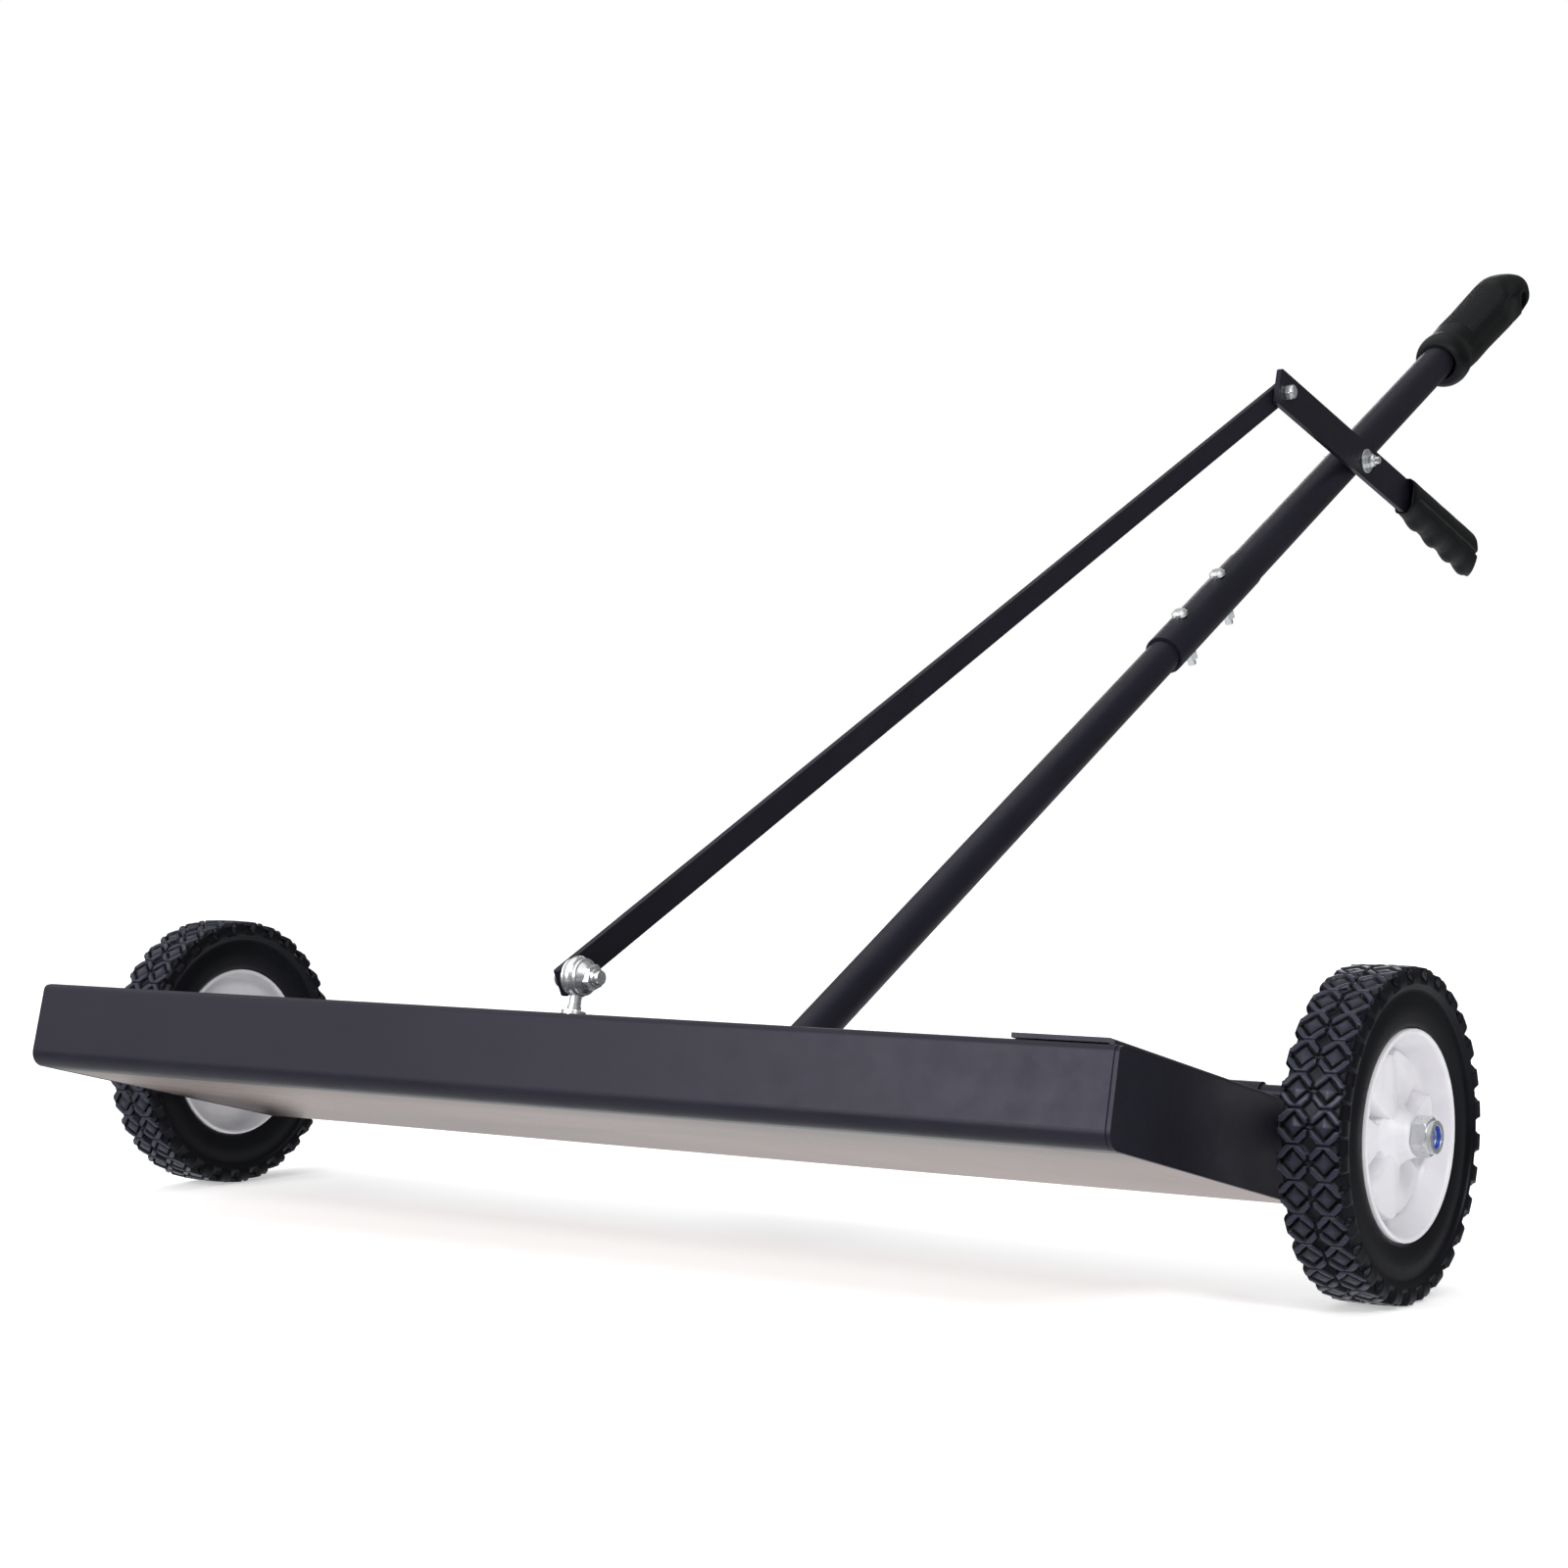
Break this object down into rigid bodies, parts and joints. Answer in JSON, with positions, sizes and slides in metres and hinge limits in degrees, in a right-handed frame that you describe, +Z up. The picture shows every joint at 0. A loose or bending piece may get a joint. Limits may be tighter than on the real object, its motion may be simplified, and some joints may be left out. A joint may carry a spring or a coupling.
{
  "type": "magnetic nail sweeper",
  "caption": "Push-type magnetic nail sweeper: a black steel housing with lifting magnets on two rubber-tyred wheels, with a long tube handle and a release lever.",
  "frame": {"origin": "on the ground, under the middle of the machine's overall width and depth", "axes": "+X along the axle to the user's right when pushing from behind and to the right of the front view, +Y from the housing's front face back towards the handle grip, +Z up"},
  "size_m": [0.918, 1.4345, 0.7376],
  "materials": {
    "black_powder_coat": "satin black powder coat over steel",
    "stainless_steel": "brushed stainless sheet",
    "zinc_plate": "bright zinc plate",
    "grip_rubber": "soft black moulded rubber",
    "tyre_rubber": "matt black moulded rubber",
    "white_plastic": "moulded white polypropylene",
    "blue_nylon": "blue nylon locking insert",
    "ferrite": "sintered ferrite, matt dark grey"
  },
  "bodies": {
    "chassis": {"housing_shell": "black_powder_coat", "left_end_plate": "black_powder_coat", "right_end_plate": "black_powder_coat", "collector_plate": "stainless_steel", "plate_rivets": "zinc_plate", "left_end_strap": "black_powder_coat", "right_end_strap": "black_powder_coat", "cross_bar": "black_powder_coat", "handle_bracket": "black_powder_coat", "bracket_screws": "zinc_plate", "bracket_bolts": "zinc_plate", "bracket_nuts": "zinc_plate", "lower_handle_tube": "black_powder_coat", "upper_handle_tube": "black_powder_coat", "splice_bolts": "zinc_plate", "splice_nuts": "zinc_plate", "main_grip": "grip_rubber", "guide_bush": "zinc_plate", "axle_rod": "zinc_plate", "left_wheel_spacer": "black_powder_coat", "right_wheel_spacer": "black_powder_coat", "left_lock_nut": "zinc_plate", "right_lock_nut": "zinc_plate", "left_nylon_ring": "blue_nylon", "right_nylon_ring": "blue_nylon", "lever_pivot_bolt": "zinc_plate", "lever_pivot_washers": "zinc_plate", "lever_pivot_nut": "zinc_plate"},
    "lever_arm": {"release_lever": "black_powder_coat", "lever_grip": "grip_rubber", "rod_top_bolt": "zinc_plate", "rod_top_nut": "zinc_plate"},
    "rod_link": {"connecting_rod": "black_powder_coat"},
    "magnet_lift": {"magnet_backing_bar": "black_powder_coat", "magnet_blocks": "ferrite", "lift_eye_bolt": "zinc_plate", "eye_bolt_nuts": "zinc_plate", "rod_foot_bolt": "zinc_plate", "rod_foot_washers": "zinc_plate", "rod_foot_nut": "zinc_plate"},
    "left_wheel": {"left_tyre": "tyre_rubber", "left_hub": "white_plastic"},
    "right_wheel": {"right_tyre": "tyre_rubber", "right_hub": "white_plastic"}
  },
  "joints": [
    {"name": "release_lever_pivot", "type": "hinge", "parent": "chassis", "child": "lever_arm", "pos_m": [0, 0.34801, 0.53709], "axis": [-1, 0, 0], "range_deg": [0, 8.37]},
    {"name": "rod_top_pivot", "type": "hinge", "parent": "lever_arm", "child": "rod_link", "pos_m": [0, 0.20404, 0.57919], "axis": [1, 0, 0], "range_deg": [0, 8.12]},
    {"name": "magnet_lift_slide", "type": "slide", "parent": "chassis", "child": "magnet_lift", "axis": [0, 0.2334, 0.9724], "range_m": [0, 0.025]},
    {"name": "left_wheel_axle", "type": "hinge", "parent": "chassis", "child": "left_wheel", "pos_m": [0, -0.5084, 0.0889], "axis": [1, 0, 0], "continuous": true},
    {"name": "right_wheel_axle", "type": "hinge", "parent": "chassis", "child": "right_wheel", "pos_m": [0, -0.5084, 0.0889], "axis": [1, 0, 0], "continuous": true}
  ],
  "couplings": [
    {"joint": "rod_top_pivot", "follows": "release_lever_pivot", "ratio": 0.96982},
    {"joint": "magnet_lift_slide", "follows": "release_lever_pivot", "m_per_rad": 0.17111}
  ]
}
